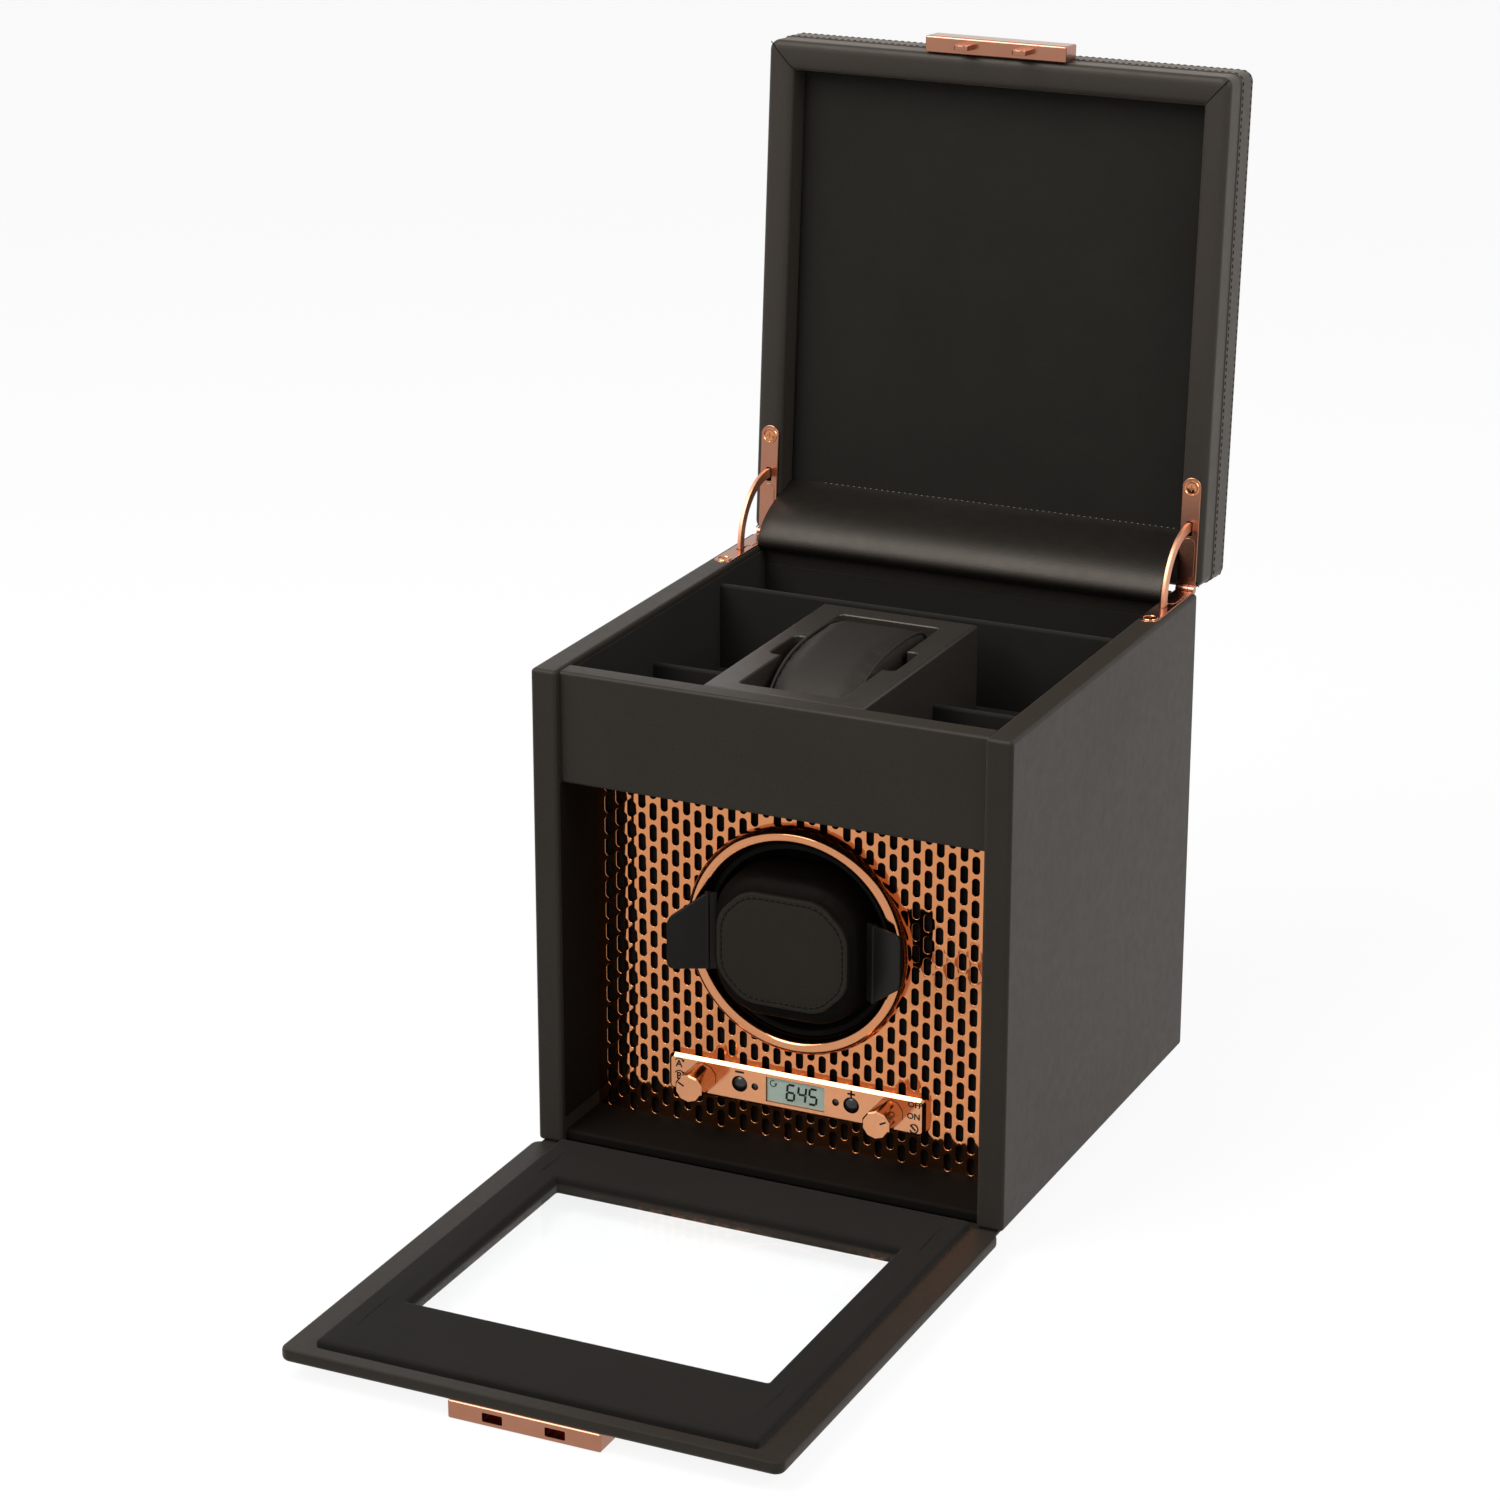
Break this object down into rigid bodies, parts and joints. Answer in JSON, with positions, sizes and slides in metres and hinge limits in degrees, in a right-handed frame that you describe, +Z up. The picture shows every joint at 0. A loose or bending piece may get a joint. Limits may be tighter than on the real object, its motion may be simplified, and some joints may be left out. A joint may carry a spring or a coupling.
{
  "type": "watch winder box",
  "caption": "Leather-covered watch winder box: a hinged lid over a storage tray, and a drop door with a window before a slotted panel with a turning watch cuff.",
  "frame": {"origin": "middle of the felt under the plinth, on the table", "axes": "+X to the right, +Y to the back, +Z up, seen from the front"},
  "size_m": [0.201, 0.4468, 0.4238],
  "materials": {
    "leather": "smooth black leatherette, soft sheen",
    "suede": "black suede cloth",
    "copper": "polished rose copper plating",
    "black_plastic": "glossy black",
    "cuff_leather": "charcoal leatherette with stitching",
    "board": "black covered fibreboard",
    "felt": "black felt",
    "clear_pane": "clear sheet",
    "display": "grey-green liquid-crystal panel",
    "inner_plastic": "matt black",
    "steel": "plain"
  },
  "bodies": {
    "case": {"side_wall_right": "leather", "side_wall_left": "leather", "back_wall": "leather", "bottom_board": "leather", "front_fascia": "leather", "base_plinth": "board", "base_felt": "felt", "power_inlet": "black_plastic", "tray_floor": "suede", "rear_divider": "suede", "cross_divider_right": "suede", "cross_divider_left": "suede", "watch_holder": "suede", "hinge_leaf_case_right": "copper", "hinge_leaf_case_left": "copper", "lid_gusset": "leather", "door_hinge_strap": "leather", "grille_panel": "copper", "drum_bezel": "copper", "motor_plate": "inner_plastic", "motor_posts": "inner_plastic", "gear_motor": "steel", "control_strip": "copper", "lcd_display": "display", "control_board": "inner_plastic", "tact_switch_left": "inner_plastic", "tact_switch_right": "inner_plastic", "rotary_switch_left": "inner_plastic", "rotary_switch_right": "inner_plastic"},
    "lid": {"lid_shell": "leather", "lid_lining": "suede", "lid_clasp": "copper", "hinge_leaf_lid_right": "copper", "hinge_leaf_lid_left": "copper"},
    "right_stay": {"stay_arm_right": "copper"},
    "left_stay": {"stay_arm_left": "copper"},
    "door": {"door_board": "leather", "door_window": "clear_pane", "door_pad": "suede", "door_clasp": "copper"},
    "drum": {"drum_cup": "black_plastic", "drum_shaft": "steel"},
    "cuff": {"cuff_body": "cuff_leather", "cuff_patch": "cuff_leather"},
    "left_ear": {"cuff_ear_left": "black_plastic"},
    "right_ear": {"cuff_ear_right": "black_plastic"},
    "mode_knob": {"mode_knob": "copper"},
    "power_knob": {"power_knob": "copper"},
    "minus_button": {"minus_button": "black_plastic"},
    "plus_button": {"plus_button": "black_plastic"},
    "pillow": {"watch_pillow": "suede"}
  },
  "joints": [
    {"name": "lid_hinge", "type": "hinge", "parent": "case", "child": "lid", "pos_m": [0, 0.102, 0.2103], "axis": [-1, 0, 0], "range_deg": [-94, 0], "deforming": ["lid_gusset"]},
    {"name": "right_stay_swing", "type": "hinge", "parent": "case", "child": "right_stay", "pos_m": [0.094, 0.102, 0.2103], "axis": [-1, 0, 0], "range_deg": [-47, 0]},
    {"name": "left_stay_swing", "type": "hinge", "parent": "case", "child": "left_stay", "pos_m": [-0.094, 0.102, 0.2103], "axis": [-1, 0, 0], "range_deg": [-47, 0]},
    {"name": "door_hinge", "type": "hinge", "parent": "case", "child": "door", "pos_m": [0, -0.10175, 0.01075], "axis": [1, 0, 0], "range_deg": [-90, 0], "deforming": ["door_hinge_strap"]},
    {"name": "drum_turn", "type": "hinge", "parent": "case", "child": "drum", "pos_m": [0, -0.046, 0.103], "axis": [0, -1, 0], "continuous": true},
    {"name": "cuff_pull", "type": "slide", "parent": "drum", "child": "cuff", "axis": [0, -1, 0], "range_m": [0, 0.055]},
    {"name": "left_ear_pinch", "type": "hinge", "parent": "cuff", "child": "left_ear", "pos_m": [-0.0355, -0.077, 0.103], "axis": [0, 0, 1], "range_deg": [0, 12], "stiffness_Nm_per_rad": 0.05},
    {"name": "right_ear_pinch", "type": "hinge", "parent": "cuff", "child": "right_ear", "pos_m": [0.0355, -0.077, 0.103], "axis": [0, 0, -1], "range_deg": [0, 12], "stiffness_Nm_per_rad": 0.05},
    {"name": "mode_turn", "type": "hinge", "parent": "case", "child": "mode_knob", "pos_m": [-0.0404, -0.072, 0.0383], "axis": [0, 1, 0], "range_deg": [-45, 45]},
    {"name": "power_turn", "type": "hinge", "parent": "case", "child": "power_knob", "pos_m": [0.0404, -0.072, 0.0383], "axis": [0, 1, 0], "range_deg": [-45, 45]},
    {"name": "minus_press", "type": "slide", "parent": "case", "child": "minus_button", "axis": [0, 1, 0], "range_m": [0, 0.001], "stiffness_N_per_m": 400},
    {"name": "plus_press", "type": "slide", "parent": "case", "child": "plus_button", "axis": [0, 1, 0], "range_m": [0, 0.001], "stiffness_N_per_m": 400},
    {"name": "pillow_lift", "type": "slide", "parent": "case", "child": "pillow", "axis": [0, 0, 1], "range_m": [0, 0.06]}
  ],
  "couplings": [
    {"joint": "right_stay_swing", "follows": "lid_hinge", "ratio": 0.5},
    {"joint": "left_stay_swing", "follows": "lid_hinge", "ratio": 0.5}
  ]
}
